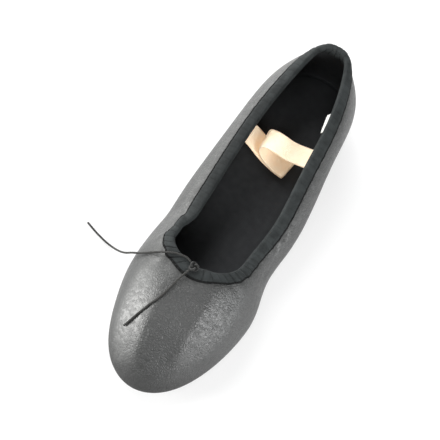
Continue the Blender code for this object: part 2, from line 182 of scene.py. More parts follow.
# Uneven swells of the soft leather, which fade out toward the tape
Swell = namedtuple("Swell", "size height")
SWELLS = [Swell(26.0, 0.20), Swell(9.0, 0.03)]
SWELL_FADE = 10.0

# Where the tape is gathered by the drawstring: place and spread in stations, depth of the puckers
Gather = namedtuple("Gather", "name station spread depth")
GATHERS = [
    Gather("throat", 9.0, 1.6, 0.45),
    Gather("knot_side", 10.6, 0.7, 0.80),
    Gather("right_front", 6.2, 1.0, 0.60),
    Gather("left_corner", 11.8, 0.9, 0.45),
    Gather("heel", 0.0, 1.7, 0.65),
    Gather("heel_far_side", 18.0, 1.7, 0.65),
]
EVEN_GATHER = 0.20
PUCKER_LENGTH = 4.2
PUCKER_WANDER = 1.5
PUCKER_CREASE = 0.30
# Share of the tape's tone that painted shade takes in the puckers' troughs
PUCKER_SHADE = 0.75
PUCKER_SWELL = 0.15
PUCKER_EVENNESS = 0.6
# Most of the tape's tone that painted shade may take
DARKEST_SHADE = 0.8
EDGE_DRIFT = 0.45

# Places in the noise for waves that do not follow each other
TAPE_WAVES = 0.0
LEATHER_WAVES = 3.0
DRIFT_WAVES = 11.0

# Leather beside the tape, by distance from its edge: what is left of the puckers, and a groove
BESIDE_TAPE_SHARE = 0.5
BESIDE_TAPE_START = -1.0
BESIDE_TAPE_PLACE = 1.5
BESIDE_TAPE_WIDTH = 4.0
GROOVE_DEPTH = 0.12
GROOVE_PLACE = 0.4
GROOVE_WIDTH = 0.8

# Patches of painted shade on the tape, beside the knot and along its left side, with the share of its tone
# that is lost at the rim and at its lower edge
Shade = namedtuple("Shade", "name station spread rim edge")
SHADES = [
    Shade("left_of_knot", 10.55, 0.50, 0.00, 0.50),
    Shade("right_of_knot", 8.90, 0.30, 0.00, 0.25),
    Shade("left_side", 14.40, 1.80, 0.38, 0.48),
]

# Grain of the leather, and how far the edges of its pebbles wander
PEBBLE_SIZE = 1.7
PEBBLE_DEPTH = 0.19
PEBBLE_WANDER = 0.9
FINE_GRAIN_DEPTH = 0.03

# Where the leather is stretched smooth, with the share of the grain that is lost there
SMOOTH_PLACES = [
    Crease(
        "left_facet",
        17.0,
        0.85,
        [(-30, -36, 46), (-28, -60, 40), (-25, -83, 31), (-19, -102, 22), (-6, -118, 12)],
    ),
    Crease("right_side", 9.0, 0.60, [(32, -31, 30), (34, -45, 31), (36, -60, 24)]),
]
SMOOTHEST = 0.8

# Where the leather is duller: beside the tape, and at the foot of the toe, which painted shade also darkens
DULL_MARGIN = 4.5
DULL_ROUGHNESS = 0.20
FOOT_SHADE_MARGIN = 17.0
FOOT_SHADE_LOSS = 0.80
FOOT_ROUGHNESS = 0.35
FOOT_SHADE_START = 0.70

# Sewn line along the tape's lower edge
SEAM = (6.3, 7.5)
SEAM_BLUR = 0.4
SEAM_TONE = 0.12
STITCH_PITCH = 2.2
STITCH_DEPTH = 0.25

# Section of the tape: how far it swells, and the dip of its sewn line above the lower edge
TAPE_PUFF = 0.5
INNER_PUFF = 0.3
RIM_RISE = 1.2
SEWN_DIP = 0.25
SEWN_PLACE = 1.5
SEWN_WIDTH = 0.55

# Sharp folds across the tape: station at the rim and at its lower edge, half width and depth
Fold = namedtuple("Fold", "name rim_station edge_station width depth")
FOLDS = [
    Fold("left_turn", 12.60, 12.80, 0.090, 0.55),
    Fold("right_notch", 6.25, 6.15, 0.040, 0.70),
]

# Flat pieces inside the shoe, a row for each bend of the middle line, as in the solids
Bend = namedtuple("Bend", "name across along height turn lift")
STRAP_BENDS = [
    Bend("sewn_left", -29.9, 67.2, 36.0, -3.0, 0.00),
    Bend("left_run", -19.5, 67.5, 35.2, 1.0, 0.06),
    Bend("lower_slope", -8.0, 69.0, 26.6, 3.0, 0.12),
    Bend("lower_lie", 3.5, 70.0, 21.8, 7.0, 0.00),
    Bend("first_fold_low", 10.6, 70.3, 21.0, 8.0, 0.00),
    Bend("first_fold_high", 10.6, 70.8, 23.4, 8.0, 0.00),
    Bend("middle_lie", 4.0, 70.6, 23.6, 7.0, 0.00),
    Bend("middle_slope", -5.5, 69.6, 28.8, 4.0, 0.08),
    Bend("second_fold_low", -10.6, 68.0, 34.0, -2.0, 0.00),
    Bend("second_fold_high", -10.6, 66.7, 38.6, -5.0, 0.00),
    Bend("upper_rise", -5.0, 66.0, 39.4, -5.0, 0.00),
    Bend("upper_crest", 0.0, 65.4, 37.9, -5.0, 0.00),
    Bend("upper_fall", 7.0, 64.6, 34.4, -5.0, 0.00),
    Bend("right_run", 17.0, 62.7, 34.4, -4.5, 0.00),
    Bend("sewn_right", 30.1, 61.0, 35.8, 0.0, 0.00),
]
LABEL_BENDS = [
    Bend("sewn_edge", 19.5, 42.2, 51.8, -8.5, 0.37),
    Bend("hang", 17.8, 42.2, 49.6, -9.0, 0.37),
    Bend("free_edge", 16.0, 42.2, 45.6, -10.0, 0.37),
]

# Drawstring, along the routes of its solids
KNOT_PLACE = (-2.1, -50.8, 52.6)
KNOT_RADIUS = 1.7
KNOT_LOBE = 0.8
KNOT_RISE = 0.8
KNOT_CORD = 1.5
PLY_COUNT = 3
PLY_PITCH = 4.2
PLY_RELIEF = 0.10
LONG_END_ROUTE = [
    (-5.2, -49.2, 52.1), (-8.2, -48.1, 52.0), (-11.6, -48.3, 51.7), (-14.9, -48.9, 51.3),
    (-18.8, -50.2, 50.1), (-22.6, -51.4, 47.8), (-27.0, -52.5, 43.5), (-31.3, -53.9, 39.0),
    (-36.3, -54.8, 33.0), (-41.1, -54.7, 26.0), (-45.5, -54.0, 17.5), (-50.8, -52.5, 9.0),
    (-56.7, -50.8, 3.2), (-62.3, -49.6, 1.2), (-66.8, -48.5, 0.9), (-71.6, -47.2, 0.8),
    (-79.0, -44.7, 0.8),
]
SHORT_END_ROUTE = [
    (-3.5, -53.7, 51.7), (-4.5, -56.4, 51.0), (-5.5, -59.2, 49.8), (-6.2, -60.6, 48.5),
    (-6.7, -62.4, 47.7), (-7.5, -65.6, 46.7), (-8.6, -69.5, 45.5), (-9.8, -73.1, 44.0),
    (-11.2, -76.3, 42.4), (-13.0, -79.3, 40.7), (-13.9, -81.3, 39.6), (-14.8, -83.2, 38.2),
    (-16.8, -87.0, 35.4), (-18.7, -91.2, 31.9), (-20.8, -95.3, 27.9),
]

# How far the short end's tip settles on the worn leather, and over what length of cord
SHORT_END_SETTLE = (0.5, 0.5, -0.7)
SETTLE_LENGTH = 22.0
CordEnd = namedtuple("CordEnd", "name route settle with_knot")
CORD_ENDS = [
    CordEnd("long_end", LONG_END_ROUTE, (0.0, 0.0, 0.0), True),
    CordEnd("short_end", SHORT_END_ROUTE, SHORT_END_SETTLE, False),
]

# Camera at the photograph's angle to the shoe
CAMERA_EYE = (61.38, -236.52, 606.71)
CAMERA_AIM = (-7.07, -9.35, 30.0)
CAMERA_ROLL = 15.35
CAMERA_LENS = 84.75
CAMERA_SENSOR = 36.0
CAMERA_NEAR = 10.0

# Studio light: square soft boxes aimed at the shoe, by bearing from the toe and height in degrees
Lamp = namedtuple("Lamp", "name bearing height size radiance colour")
SHOE_HEART = (0.0, 0.0, 30.0)
LAMP_DISTANCE = 1100.0
LAMPS = [
    Lamp("left_toe_low", 300, 10, 500, 22.0, (1.0, 1.0, 0.98)),
    Lamp("left_heel_low", 240, 10, 500, 15.0, (1.0, 1.0, 0.98)),
    Lamp("left_high", 240, 52, 500, 10.0, (1.0, 1.0, 1.0)),
    Lamp("heel_side", 210, 30, 500, 9.5, (1.0, 1.0, 1.0)),
    Lamp("toe_high", 0, 52, 500, 3.4, (1.0, 1.0, 1.0)),
    Lamp("right_toe", 60, 30, 500, 12.5, (1.0, 1.0, 1.0)),
    Lamp("right_low", 90, 10, 500, 7.5, (0.98, 1.0, 1.0)),
    Lamp("overhead", 0, 90, 500, 1.5, (1.0, 1.0, 1.0)),
]
WORLD_LIGHT = 0.02
FLOOR_GLOW = 0.62
FLOOR_TONE = 0.33
FLOOR_REACH = 4000.0


def smoothstep(share):
    """Rise from 0 to 1 with flat ends and no jump in curvature."""
    t = np.clip(share, 0.0, 1.0)
    return t ** 3 * (t * (6 * t - 15) + 10)


def unit(vectors):
    return vectors / np.linalg.norm(vectors, axis=-1, keepdims=True)


def base_height(along):
    """Height of the upper's underside over the floor: heel seat, arch, tread and toe spring."""
    share = np.asarray(along) / LAST_LENGTH
    arch = smoothstep((share - HEEL_SEAT_END) / (ARCH_END - HEEL_SEAT_END))
    spring = np.clip((share - SPRING_START) / (1 - SPRING_START), 0.0, None) ** 2
    return UPPER_BASE + HEEL_HEIGHT * (1 - arch) + TOE_SPRING * spring


def spline(rows, count, closed=False):
    """Cubic spline through the rows, sampled evenly: count points, with both ends when open."""
    rows = np.asarray(rows, float)
    knots = len(rows)
    system = 4 * np.eye(knots) + np.eye(knots, k=1) + np.eye(knots, k=-1)
    pull = np.zeros_like(rows)
    pull[1:-1] = 3 * (rows[2:] - rows[:-2])
    if closed:
        system[0, -1] = system[-1, 0] = 1
        pull[0] = 3 * (rows[1] - rows[-1])
        pull[-1] = 3 * (rows[0] - rows[-2])
        rows_next = np.roll(rows, -1, axis=0)
    else:
        system[0, 0] = system[-1, -1] = 2
        pull[0] = 3 * (rows[1] - rows[0])
        pull[-1] = 3 * (rows[-1] - rows[-2])
        rows_next = np.vstack([rows[1:], rows[-1:]])
    slopes = np.linalg.solve(system, pull)
    slopes_next = np.roll(slopes, -1, axis=0)
    place = np.linspace(0, knots if closed else knots - 1, count, endpoint=not closed)
    span = np.minimum(place.astype(int), knots - 1 if closed else knots - 2)
    t = (place - span)[:, None]
    step = rows_next[span] - rows[span]
    start, end = slopes[span], slopes_next[span]
    return rows[span] + t * start + t * t * (3 * step - 2 * start - end) + t ** 3 * (start + end - 2 * step)


def soften(rows, rounds):
    """Cut the corners of a line of rows again and again, keeping its two ends."""
    rows = np.asarray(rows, float)
    for _ in range(rounds):
        before, after = rows[:-1], rows[1:]
        cuts = np.stack([0.75 * before + 0.25 * after, 0.25 * before + 0.75 * after], axis=1)
        rows = np.vstack([rows[:1], cuts.reshape(-1, rows.shape[1]), rows[-1:]])
    return rows


class Ring:
    """Wall of the last at a number of stations round the shoe, from the heel by way of the toe."""

    def __init__(self, count, middle=0.0):
        near = np.array([section[1:] for section in SECTIONS])
        far = near[-2:0:-1].copy()
        far[:, [1, 3]] *= -1
        columns = spline(np.vstack([near, far]), count, closed=True).T
        feather_along, feather_across, collar_along, collar_across = columns[:4]
        rise, bulge, roll_out, roll_down = columns[4:]
        feather_along, collar_along = feather_along * LAST_LENGTH, collar_along * LAST_LENGTH
        self.count = count
        self.middle = middle
        self.stations = np.arange(count) * STATIONS / count
        self.feather = np.stack(
            [feather_across * BALL_HALF, -feather_along - middle, base_height(feather_along)], axis=1
        )
        collar_height = base_height(collar_along) + rise * INSTEP_HEIGHT
        self.collar = np.stack([collar_across * BALL_HALF, -collar_along - middle, collar_height], axis=1)
        run = np.roll(self.feather, -1, axis=0) - np.roll(self.feather, 1, axis=0)
        self.outward = unit(np.stack([-run[:, 1], run[:, 0], np.zeros(count)], axis=1))
        fullness = np.zeros(count)
        for pull in PULLS:
            share = np.exp(-((self.stations - pull.station) / pull.spread) ** 2)
            self.collar += self.outward * (pull.collar * share)[:, None]
            fullness += pull.belly * share
        self.tape_fullness = np.ones(count)
        for ease in TAPE_EASES:
            self.tape_fullness += ease.share * np.exp(-((self.stations - ease.station) / ease.spread) ** 2)
        self.belly = self.feather + self.outward * (bulge * BALL_HALF + fullness)[:, None]
        reach = roll_out * BALL_HALF + SHOULDER_SHARE * fullness
        shoulder_drop = UPWARD * (roll_down * INSTEP_HEIGHT)[:, None]
        self.shoulder = self.collar + self.outward * reach[:, None] - shoulder_drop

    def along(self, points):
        """Distance of points from the heel end of the last."""
        return -(points[..., 1] + self.middle)

    def wall(self, shares):
        """Outer face of the upper at shares of its rise, one row of shares or one for each station."""
        t = np.broadcast_to(shares, (self.count, np.shape(shares)[-1]))[..., None]
        return (
            (1 - t) ** 3 * self.feather[:, None]
            + 3 * (1 - t) ** 2 * t * self.belly[:, None]
            + 3 * (1 - t) * t ** 2 * self.shoulder[:, None]
            + t ** 3 * self.collar[:, None]
        )

    def share_below_collar(self, depths):
        """Shares of the wall's rise, for each station, at depths of the even tape below the collar."""
        shares = np.linspace(1, 0, CURVE_FINENESS)
        steps = np.linalg.norm(np.diff(self.wall(shares), axis=1), axis=2)
        travelled = np.hstack([np.zeros((self.count, 1)), np.cumsum(steps, axis=1)])
        depths = np.broadcast_to(depths, (self.count, np.shape(depths)[-1])) * self.tape_fullness[:, None]
        return np.array([np.interp(wanted, row, shares) for wanted, row in zip(depths, travelled)])

    def below_collar(self, depths):
        """Points and outward normals of the wall at depths below the collar; less than 0 is beyond it."""
        depths = np.broadcast_to(depths, (self.count, np.shape(depths)[-1]))
        t = self.share_below_collar(np.maximum(depths, 0.0))[..., None]
        points = self.wall(t[..., 0])
        rim_up = unit(self.collar - self.shoulder)
        points = points - rim_up[:, None] * np.minimum(depths, 0.0)[..., None]
        rise = (
            (1 - t) ** 2 * (self.belly - self.feather)[:, None]
            + 2 * (1 - t) * t * (self.shoulder - self.belly)[:, None]
            + t * t * (self.collar - self.shoulder)[:, None]
        )
        round_about = np.roll(points, -1, axis=0) - np.roll(points, 1, axis=0)
        return points, unit(np.cross(rise, round_about))

    def arc(self):
        """Distance travelled round the collar at each station."""
        steps = np.linalg.norm(np.roll(self.collar, -1, axis=0) - self.collar, axis=1)
        return np.concatenate([[0.0], np.cumsum(steps)[:-1]])


LENGTHWISE = Ring(SOLE_STATIONS).wall(np.linspace(0, 1, CURVE_FINENESS))[..., 1]
UPPER_LOW, UPPER_HIGH = (np.array(corner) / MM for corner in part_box("upper"))
MIDDLE = (LENGTHWISE.max() + LENGTHWISE.min()) / 2 - (UPPER_LOW[1] + UPPER_HIGH[1]) / 2


def noise_at(points, size):
    """Smooth noise from -1 to 1, with features of the given size, at an array of points."""
    flat = np.reshape(points, (-1, 3)) / size
    values = np.array([noise.noise(Vector(p)) for p in flat])
    return values.reshape(np.shape(points)[:-1])


def gather_depth(stations):
    """How deeply the tape is puckered at each station."""
    depth = np.full(np.shape(stations), EVEN_GATHER)
    for gather in GATHERS:
        share = np.exp(-((stations - gather.station) / gather.spread) ** 2)
        depth = np.maximum(depth, gather.depth * share)
    return depth


def puckers(ring, shift, depths=np.zeros(1)):
    """Waves from -1 to 1 round the collar that cross 0 at each pucker and wander as they go down."""
    travelled = ring.arc()
    total = travelled[-1] + np.linalg.norm(ring.collar[0] - ring.collar[-1])
    turn = 2 * np.pi * travelled / total
    radius = total / (2 * np.pi)
    circle = np.zeros((ring.count, len(depths), 3))
    circle[..., 0] = radius * np.cos(turn)[:, None]
    circle[..., 1] = radius * np.sin(turn)[:, None]
    circle[..., 2] = shift + depths
    count = round(total / (2 * PUCKER_LENGTH))
    return np.sin(count * turn[:, None] + PUCKER_WANDER * noise_at(circle, 2.5 * PUCKER_LENGTH))


def crease_relief(points, creases):
    """Height of the listed troughs and ridges at points on the wall."""
    relief = np.zeros(points.shape[:2])
    for crease in creases:
        line = spline(crease.line, CREASE_STEPS)
        nearest = np.full(relief.shape, np.inf)
        place = np.zeros(relief.shape)
        for step, spot in enumerate(line):
            distance = np.linalg.norm(points - spot, axis=2)
            closer = distance < nearest
            nearest[closer] = distance[closer]
            place[closer] = step / (CREASE_STEPS - 1)
        fade = np.sin(np.pi * np.clip(place, CREASE_BLUNT, 1 - CREASE_BLUNT)) ** CREASE_TAPER
        relief += crease.depth * fade * np.exp(-((nearest / crease.width) ** 2))
    return relief


def add_piece(name, mesh, stands_for, materials):
    """Put a mesh in the scene as a piece that rides on the shoe and stands for a solid."""
    piece = bpy.data.objects.new(name, mesh)
    for material in materials:
        mesh.materials.append(material)
    bpy.context.scene.collection.objects.link(piece)
    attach(piece, "root")
    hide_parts(stands_for)
    return piece


def grid_mesh(name, grid, closed_round=False, closed_across=False, capped=False):
    """Smooth quads over a grid of points, with texture coordinates in millimetres of travel."""
    rows, columns = grid.shape[:2]
    row_before = np.arange(rows if closed_round else rows - 1)
    column_before = np.arange(columns if closed_across else columns - 1)
    i, j = (index.ravel() for index in np.meshgrid(row_before, column_before, indexing="ij"))
    i_after, j_after = (i + 1) % rows, (j + 1) % columns
    corners = [(i, j), (i, j_after), (i_after, j_after), (i_after, j)]
    faces = np.stack([a * columns + b for a, b in corners], axis=1).tolist()
    if capped:
        faces.append(list(range(columns)))
        faces.append(list(range((rows - 1) * columns, rows * columns)))
    mesh = bpy.data.meshes.new(name)
    mesh.from_pydata(grid.reshape(-1, 3) * MM, [], faces)
    round_steps = np.linalg.norm(np.roll(grid, -1, axis=0) - grid, axis=2).mean(axis=1)
    across_steps = np.linalg.norm(np.roll(grid, -1, axis=1) - grid, axis=2).mean(axis=0)
    u = np.concatenate([[0.0], np.cumsum(round_steps)])
    v = np.concatenate([[0.0], np.cumsum(across_steps)])
    ends = [(i, j), (i, j + 1), (i + 1, j + 1), (i + 1, j)]
    travel = np.stack([np.stack([u[a], v[b]], axis=1) for a, b in ends], axis=1).reshape(-1, 2)
    layer = mesh.uv_layers.new(name="travel")
    values = np.zeros((len(mesh.loops), 2), np.float32)
    values[: len(travel)] = travel
    layer.data.foreach_set("uv", values.ravel())
    shape = bmesh.new()
    shape.from_mesh(mesh)
    bmesh.ops.recalc_face_normals(shape, faces=shape.faces)
    shape.to_mesh(mesh)
    shape.free()
    mesh.shade_smooth()
    return mesh


def store(mesh, name, values):
    """Keep a value for each point of a mesh, for its material to read."""
    mesh.attributes.new(name, "FLOAT", "POINT").data.foreach_set("value", values.ravel())


def new_node(tree, kind, inputs=None, **settings):
    """Add a shader node, set its own settings, and fill its sockets with values or links."""
    node = tree.nodes.new(kind)
    for setting, value in settings.items():
        setattr(node, setting, value)
    for socket, value in (inputs or {}).items():
        if isinstance(value, bpy.types.NodeSocket):
            tree.links.new(value, node.inputs[socket])
        else:
            node.inputs[socket].default_value = value
    return node


def start_material(name, **sockets):
    """New material with the given values on its shader; returned with its node tree and its shader."""
    material = bpy.data.materials.new(name)
    material.use_nodes = True
    shader = material.node_tree.nodes["Principled BSDF"]
    for socket, value in sockets.items():
        shader.inputs[socket.replace("_", " ")].default_value = value
    return material, material.node_tree, shader


def scaled(tree, vector, share):
    """Vector or colour times a share."""
    return new_node(tree, "ShaderNodeVectorMath", {0: vector, "Scale": share}, operation="SCALE").outputs[0]


def calculated(tree, operation, *values):
    """Result of a math operation on numbers or sockets."""
    return new_node(tree, "ShaderNodeMath", dict(enumerate(values)), operation=operation).outputs[0]


def stored(tree, name):
    """Value that the mesh keeps for its points under a name."""
    return new_node(tree, "ShaderNodeAttribute", attribute_name=name).outputs["Fac"]


def millimetres(tree, coordinates="Object"):
    """Texture coordinates in millimetres: the shoe's own frame, or the travel over a piece."""
    source = new_node(tree, "ShaderNodeTexCoord").outputs[coordinates]
    scale = 1.0 if coordinates == "UV" else 1 / MM
    return scaled(tree, source, scale)


def noise_value(tree, where, size, detail=2.0, roughness=0.5):
    """Noise from 0 to 1 with features of a size in millimetres."""
    sockets = {"Vector": where, "Scale": 1 / size, "Detail": detail, "Roughness": roughness}
    return new_node(tree, "ShaderNodeTexNoise", sockets).outputs["Fac"]


def spread(tree, value, low, high, start=0.0, end=1.0):
    """Value carried from one range to another, held at its ends."""
    sockets = {"Value": value, "From Min": start, "From Max": end, "To Min": low, "To Max": high}
    return new_node(tree, "ShaderNodeMapRange", sockets).outputs["Result"]


def blend_colour(tree, share, first, second):
    """Mix of two colours by a share."""
    mix = new_node(tree, "ShaderNodeMix", data_type="RGBA")
    tree.links.new(share, mix.inputs["Factor"])
    mix.inputs[6].default_value = (*first, 1.0)
    mix.inputs[7].default_value = (*second, 1.0)
    return mix.outputs[2]


def bump(tree, height, depth, under=None):
    """Normals from a height of 0 to 1 that stands for a depth in millimetres."""
    sockets = {"Height": height, "Distance": depth * MM, "Strength": 1.0}
    if under is not None:
        sockets["Normal"] = under
    return new_node(tree, "ShaderNodeBump", sockets).outputs["Normal"]


def bands(tree, where, pitch, direction, distortion):
    """Waves from 0 to 1 with a pitch in millimetres."""
    sockets = {"Vector": where, "Scale": np.pi / (10 * pitch), "Distortion": distortion, "Detail": 1.0}
    return new_node(tree, "ShaderNodeTexWave", sockets, bands_direction=direction).outputs["Fac"]


def pebbled_leather():
    """Soft black leather with a pebbled grain whose crowns catch the light unevenly."""
    material, tree, shader = start_material(
        "pebbled_leather", Specular_IOR_Level=0.85, Coat_Weight=0.12, Coat_Roughness=0.45
    )
    where = millimetres(tree)
    sockets = {"Vector": where, "Scale": 0.7, "Detail": 1.0}
    wander = new_node(tree, "ShaderNodeTexNoise", sockets).outputs["Color"]
    sockets = {0: wander, 1: (PEBBLE_WANDER,) * 3, 2: where}
    shifted = new_node(tree, "ShaderNodeVectorMath", sockets, operation="MULTIPLY_ADD").outputs[0]
    sockets = {"Vector": shifted, "Scale": 1 / PEBBLE_SIZE}
    edges = new_node(tree, "ShaderNodeTexVoronoi", sockets, feature="DISTANCE_TO_EDGE").outputs["Distance"]
    own = new_node(tree, "ShaderNodeTexVoronoi", sockets).outputs["Color"]
    own = new_node(tree, "ShaderNodeSeparateColor", {"Color": own}).outputs[0]
    pebbles = spread(tree, edges, 0.0, 1.0, 0.02, 0.34)
    # Painted shade: the leather is darkened at the foot of the toe, where it is also rougher
    foot_shade = stored(tree, "foot_shade")
    tone = blend_colour(tree, pebbles, (0.011, 0.012, 0.012), (0.025, 0.026, 0.025))
    patchy = spread(tree, noise_value(tree, where, 14.0, detail=3.0), 0.80, 1.25, 0.3, 0.7)
    shade = calculated(tree, "MULTIPLY", patchy, spread(tree, foot_shade, 1.0, 1 - FOOT_SHADE_LOSS))
    tree.links.new(scaled(tree, tone, shade), shader.inputs["Base Color"])
    rough = spread(tree, own, 0.42, 0.56)
    rough = calculated(tree, "MULTIPLY_ADD", stored(tree, "dull"), DULL_ROUGHNESS, rough)
    rough = calculated(tree, "MULTIPLY_ADD", foot_shade, FOOT_ROUGHNESS, rough)
    tree.links.new(rough, shader.inputs["Roughness"])
    crowns = calculated(tree, "MULTIPLY", pebbles, spread(tree, own, 0.45, 1.0))
    grained = calculated(tree, "MULTIPLY", crowns, spread(tree, stored(tree, "smooth"), 1.0, 0.0))
    grain = bump(tree, grained, PEBBLE_DEPTH)
    fine = noise_value(tree, where, 0.3, detail=3.0)
    tree.links.new(bump(tree, fine, FINE_GRAIN_DEPTH, grain), shader.inputs["Normal"])
    return material


def woven(name, colour, light_colour, pitch, depth, roughness, coordinates="UV", seam=None, **sockets):
    """Cloth with two crossing sets of threads, a broad change of tone and, if asked, a dark sewn seam and
    the painted shade that the mesh keeps.
    """
    material, tree, shader = start_material(name, Roughness=roughness, **sockets)
    where = millimetres(tree, coordinates)
    threads = [bands(tree, where, pitch, direction, 0.4) for direction in ("X", "Y")]
    height = spread(tree, calculated(tree, "ADD", *threads), 0.0, 1.0, 0.0, 2.0)
    own = millimetres(tree)
    broad = noise_value(tree, own, 5.0, detail=4.0)
    fuzz = noise_value(tree, own, 0.25, detail=2.0)
    tone = spread(tree, broad, 0.0, 1.0, 0.32, 0.68)
    cloth = blend_colour(tree, tone, colour, light_colour)
    threads_bump = bump(tree, height, depth)
    if seam:
        across = new_node(tree, "ShaderNodeSeparateXYZ", {0: where}).outputs["Y"]
        start = spread(tree, across, 0.0, 1.0, seam[0] - SEAM_BLUR, seam[0])
        end = spread(tree, across, 1.0, 0.0, seam[1], seam[1] + SEAM_BLUR)
        sewn = calculated(tree, "MULTIPLY", start, end)
        # Painted shade kept on the mesh darkens the cloth
        lit = calculated(tree, "SUBTRACT", 1.0, stored(tree, "shade"))
        cloth = scaled(tree, cloth, calculated(tree, "MULTIPLY", spread(tree, sewn, 1.0, SEAM_TONE), lit))
        stitches = bands(tree, where, STITCH_PITCH, "X", 0.0)
        threads_bump = bump(tree, calculated(tree, "MULTIPLY", stitches, sewn), STITCH_DEPTH, threads_bump)
    tree.links.new(cloth, shader.inputs["Base Color"])
    tree.links.new(bump(tree, fuzz, depth * 0.6, threads_bump), shader.inputs["Normal"])
    return material


def buffed(name, colour, light_colour, roughness, depth, size):
    """Dull solid surface with a fine nap and faint scuffs."""
    material, tree, shader = start_material(name)
    where = millimetres(tree)
    nap = noise_value(tree, where, size, detail=4.0, roughness=0.65)
    broad = noise_value(tree, where, 9.0, detail=3.0)
    tone = spread(tree, broad, 0.0, 1.0, 0.35, 0.65)
    tree.links.new(blend_colour(tree, tone, colour, light_colour), shader.inputs["Base Color"])
    tree.links.new(spread(tree, nap, roughness - 0.08, roughness + 0.08), shader.inputs["Roughness"])
    tree.links.new(bump(tree, nap, depth), shader.inputs["Normal"])
    return material


def ribbed_elastic():
    """Pale elastic with cords along its length and fine threads across, and a faint painted peach glow that
    stands for light passing through it.
    """
    material, tree, shader = start_material(
        "ribbed_elastic",
        Roughness=0.85,
        Sheen_Weight=0.2,
        # Painted glow: the elastic gives off a faint peach light, in place of light that passes through it
        Emission_Color=(1.0, 0.66, 0.38, 1.0),
        Emission_Strength=0.20,
    )
    where = millimetres(tree, "UV")
    tone = spread(tree, noise_value(tree, millimetres(tree), 4.0), 0.0, 1.0, 0.3, 0.7)
    colour = blend_colour(tree, tone, (0.95, 0.79, 0.58), (0.98, 0.84, 0.65))
    tree.links.new(colour, shader.inputs["Base Color"])
    ribs_bump = bump(tree, bands(tree, where, 1.1, "Y", 0.2), 0.10)
    tree.links.new(bump(tree, bands(tree, where, 0.5, "X", 0.5), 0.04, ribs_bump), shader.inputs["Normal"])
    return material


def upper_outside(ring):
    """Outer face of the upper: the margin lasted under the foot, the turn at the feather, and the wall."""
    edge_share = ring.share_below_collar([TAPE_OUTSIDE])
    steps = np.linalg.norm(np.diff(ring.wall(np.linspace(0, 1, CURVE_FINENESS)), axis=1), axis=2)
    turn_share = FEATHER_TURN / (steps[:, :1] * (CURVE_FINENESS - 1))
    below = turn_share + (edge_share - turn_share) * np.linspace(0, 1, WALL_ROWS, endpoint=False)
    under = ring.share_below_collar(np.linspace(TAPE_OUTSIDE, 0, UNDER_TAPE_ROWS))
    rise = ring.wall(np.hstack([below, under]))
    inward = np.linspace(LASTED_MARGIN, FEATHER_TURN, MARGIN_ROWS)
    margin = ring.feather[:, None] - ring.outward[:, None] * inward[None, :, None]
    margin[..., 2] = base_height(ring.along(margin))
    t = np.linspace(0, 1, TURN_ROWS + 2)[1:-1][None, :, None]
    corner = ring.feather[:, None]
    turn = (1 - t) ** 2 * margin[:, -1:] + 2 * (1 - t) * t * corner + t * t * rise[:, :1]
    return np.concatenate([margin, turn, rise], axis=1)


def worn_relief(ring, outside, depth):
    """Height of creases, swells and gathers on the outer face, with its depth below the tape's edge."""
    lasted = MARGIN_ROWS + TURN_ROWS
    free = smoothstep(depth / SWELL_FADE)
    free[:, :lasted] *= np.linspace(0, 1, lasted)
    relief = crease_relief(outside, CREASES) * smoothstep(depth / CREASE_FADE)
    relief += free * sum(swell.height * noise_at(outside, swell.size) for swell in SWELLS)
    beside = np.exp(-(((depth - BESIDE_TAPE_PLACE) / BESIDE_TAPE_WIDTH) ** 2)) * (depth > BESIDE_TAPE_START)
    gather = BESIDE_TAPE_SHARE * gather_depth(ring.stations)[:, None]
    relief += beside * gather * puckers(ring, LEATHER_WAVES)
    relief -= GROOVE_DEPTH * np.exp(-(((depth - GROOVE_PLACE) / GROOVE_WIDTH) ** 2))
    relief[:, :lasted] *= np.linspace(0, 1, lasted)
    return relief


def make_upper(leather, lining):
    """Leather wall with its turned margin below, worn creases, and the lining inside it."""
    ring = Ring(LEATHER_STATIONS, MIDDLE)
    outside = upper_outside(ring)
    round_about = np.roll(outside, -1, axis=0) - np.roll(outside, 1, axis=0)
    normals = unit(np.cross(np.gradient(outside, axis=1), round_about))
    end_row = np.zeros((ring.count, 1))
    steps = np.linalg.norm(np.diff(outside, axis=1), axis=2)
    depth = np.hstack([steps[:, ::-1].cumsum(axis=1)[:, ::-1], end_row])
    depth -= TAPE_OUTSIDE * ring.tape_fullness[:, None]
    outside = outside + normals * worn_relief(ring, outside, depth)[..., None]
    inside = (outside - normals * WALL)[:, ::-1][:, ::LINING_STRIDE]
    both = np.concatenate([outside, inside], axis=1)
    mesh = grid_mesh("upper", both, closed_round=True, closed_across=True)
    travelled = np.linalg.norm(np.diff(outside, axis=1), axis=2).cumsum(axis=1)
    climb = np.hstack([end_row, travelled]) - LASTED_MARGIN
    # Band at the foot of the toe that the leather's material darkens with painted shade
    toeward = smoothstep((ring.along(outside) / LAST_LENGTH - FOOT_SHADE_START) / (1 - FOOT_SHADE_START))
    marks = {
        "dull": np.exp(-((depth / DULL_MARGIN) ** 2)),
        "foot_shade": toeward * np.exp(-((np.maximum(climb, 0.0) / FOOT_SHADE_MARGIN) ** 2)),
        "smooth": np.clip(crease_relief(outside, SMOOTH_PLACES), 0, SMOOTHEST),
    }
    for name, values in marks.items():
        store(mesh, name, np.hstack([values, np.zeros(inside.shape[:2])]))
    lining_faces = np.arange(len(mesh.polygons)) % both.shape[1] >= outside.shape[1] - 1
    mesh.polygons.foreach_set("material_index", lining_faces.astype(np.int32))
    add_piece("upper_leather", mesh, "upper", [leather, lining])


